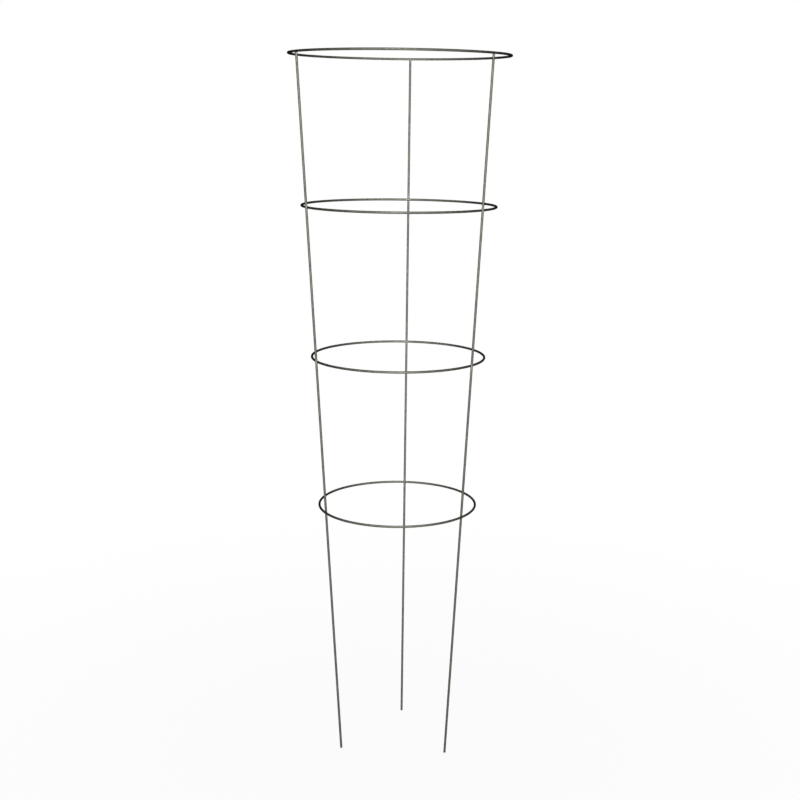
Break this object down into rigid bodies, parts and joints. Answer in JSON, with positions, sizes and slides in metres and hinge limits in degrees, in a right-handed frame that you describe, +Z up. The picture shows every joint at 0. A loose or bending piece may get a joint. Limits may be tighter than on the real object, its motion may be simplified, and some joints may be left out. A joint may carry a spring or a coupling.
{
  "type": "tomato cage",
  "caption": "Tall conical cage of welded galvanised wire: straight legs lean apart towards the top and carry level rings that hold up a tomato plant.",
  "frame": {"origin": "on the cage's axis at the level of the feet", "axes": "+Z up along the cage's axis, -Y towards the front, between the two front legs, +X to the right"},
  "size_m": [0.418, 0.4181, 1.3725],
  "materials": {
    "galvanised_wire": "dull weathered zinc on drawn wire",
    "weld_metal": "weld metal under the same dull zinc, rougher"
  },
  "bodies": {
    "root": {"front_left_leg": "galvanised_wire", "front_right_leg": "galvanised_wire", "back_leg": "galvanised_wire", "top_ring": "galvanised_wire", "upper_ring": "galvanised_wire", "lower_ring": "galvanised_wire", "bottom_ring": "galvanised_wire", "top_ring_front_left_weld": "weld_metal", "top_ring_front_right_weld": "weld_metal", "top_ring_back_weld": "weld_metal", "upper_ring_front_left_weld": "weld_metal", "upper_ring_front_right_weld": "weld_metal", "upper_ring_back_weld": "weld_metal", "lower_ring_front_left_weld": "weld_metal", "lower_ring_front_right_weld": "weld_metal", "lower_ring_back_weld": "weld_metal", "bottom_ring_front_left_weld": "weld_metal", "bottom_ring_front_right_weld": "weld_metal", "bottom_ring_back_weld": "weld_metal", "top_ring_seam": "weld_metal", "upper_ring_seam": "weld_metal", "lower_ring_seam": "weld_metal", "bottom_ring_seam": "weld_metal"}
  },
  "joints": []
}
